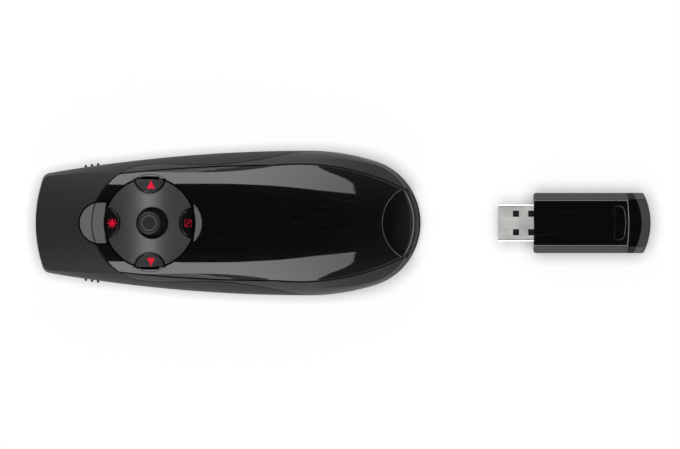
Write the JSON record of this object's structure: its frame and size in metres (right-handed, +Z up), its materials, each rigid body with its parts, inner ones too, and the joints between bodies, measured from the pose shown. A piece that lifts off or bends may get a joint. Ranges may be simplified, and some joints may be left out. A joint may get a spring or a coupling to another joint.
{
  "type": "wireless presentation clicker",
  "caption": "Hand-held wireless presenter with gloss cover, button dish, small joystick, laser nose and a plug-in receiver that stows in its tail.",
  "frame": {"origin": "centre of the remote's length and width, on the flat underside that rests on the table", "axes": "+X from the nose towards the tail and the receiver, +Y across the body, +Z up out of the buttons"},
  "size_m": [0.1993, 0.0468, 0.0267],
  "materials": {
    "case_plastic": "fine moulded texture, matt black",
    "band_plastic": "satin dark grey",
    "gloss_plastic": "polished black",
    "dish_plastic": "satin dark grey",
    "button_plastic": "gloss black with a red symbol",
    "cap_rubber": "soft black grip",
    "module_plastic": "moulded black",
    "nylon": "natural white",
    "bright_steel": "bright, lightly brushed",
    "board_green": "green solder mask on glass laminate",
    "switch_metal": "dome foil on a black base",
    "chip_black": "moulded package",
    "can_metal": "pressed can",
    "bezel_black": "polished ring",
    "lens_clear": "red tinted window",
    "laser_brass": "turned",
    "cell_wrap": "printed film over steel, bare of words",
    "receiver_grey": "satin dark grey",
    "plug_steel": "nickel plated",
    "contact_gold": "gold flash"
  },
  "bodies": {
    "remote": {"lower_case": "case_plastic", "side_band": "band_plastic", "top_cover": "gloss_plastic", "control_dish": "dish_plastic", "module_housing": "module_plastic", "main_board": "board_green", "dome_switches": "switch_metal", "radio_chip": "chip_black", "radio_crystal": "can_metal", "nose_bezel": "bezel_black", "laser_lens": "lens_clear", "laser_barrel": "laser_brass", "laser_diode": "laser_brass", "left_cell": "cell_wrap", "right_cell": "cell_wrap", "contact_plates": "bright_steel", "contact_springs": "bright_steel", "power_switch": "module_plastic", "case_screws": "bright_steel"},
    "blank_button": {"blank_button": "button_plastic"},
    "back_button": {"back_button": "button_plastic"},
    "laser_button": {"laser_button": "button_plastic"},
    "forward_button": {"forward_button": "button_plastic"},
    "gimbal": {"gimbal_ring": "nylon"},
    "stick": {"joystick_stick": "bright_steel"},
    "stick_cap": {"joystick_cap": "cap_rubber"},
    "door": {"battery_door": "case_plastic"},
    "plunger": {"power_plunger": "nylon"},
    "receiver": {"receiver_case": "receiver_grey", "receiver_top_plate": "gloss_plastic", "receiver_lens": "gloss_plastic", "receiver_end_cap": "band_plastic", "usb_shell": "plug_steel", "usb_tongue": "module_plastic", "usb_contacts": "contact_gold", "receiver_board": "board_green", "receiver_chip": "chip_black", "receiver_crystal": "can_metal"}
  },
  "joints": [
    {"name": "blank_press", "type": "slide", "parent": "remote", "child": "blank_button", "axis": [0, 0, -1], "range_m": [0, 0.0005], "stiffness_N_per_m": 600, "springref_m": -0.0005},
    {"name": "back_press", "type": "slide", "parent": "remote", "child": "back_button", "axis": [0, 0, -1], "range_m": [0, 0.0005], "stiffness_N_per_m": 600, "springref_m": -0.0005},
    {"name": "laser_press", "type": "slide", "parent": "remote", "child": "laser_button", "axis": [0, 0, -1], "range_m": [0, 0.0005], "stiffness_N_per_m": 600, "springref_m": -0.0005},
    {"name": "forward_press", "type": "slide", "parent": "remote", "child": "forward_button", "axis": [0, 0, -1], "range_m": [0, 0.0005], "stiffness_N_per_m": 600, "springref_m": -0.0005},
    {"name": "stick_fore_aft", "type": "hinge", "parent": "remote", "child": "gimbal", "pos_m": [-0.0254, 0, 0.018], "axis": [0, 1, 0], "range_deg": [-7, 7], "stiffness_Nm_per_rad": 0.02},
    {"name": "stick_side", "type": "hinge", "parent": "gimbal", "child": "stick", "pos_m": [-0.0254, 0, 0.018], "axis": [1, 0, 0], "range_deg": [-7, 7], "stiffness_Nm_per_rad": 0.02},
    {"name": "stick_press", "type": "slide", "parent": "stick", "child": "stick_cap", "axis": [0, 0, -1], "range_m": [0, 0.0005], "stiffness_N_per_m": 600, "springref_m": -0.0005},
    {"name": "door_slide", "type": "slide", "parent": "remote", "child": "door", "axis": [-1, 0, 0], "range_m": [0, 0.064]},
    {"name": "plunger_press", "type": "slide", "parent": "remote", "child": "plunger", "axis": [-1, 0, 0], "range_m": [0, 0.001], "stiffness_N_per_m": 300, "springref_m": -0.001},
    {"name": "receiver_stow", "type": "slide", "parent": "remote", "child": "receiver", "axis": [-0.9995, 0, 0.0314], "range_m": [0, 0.075]}
  ]
}
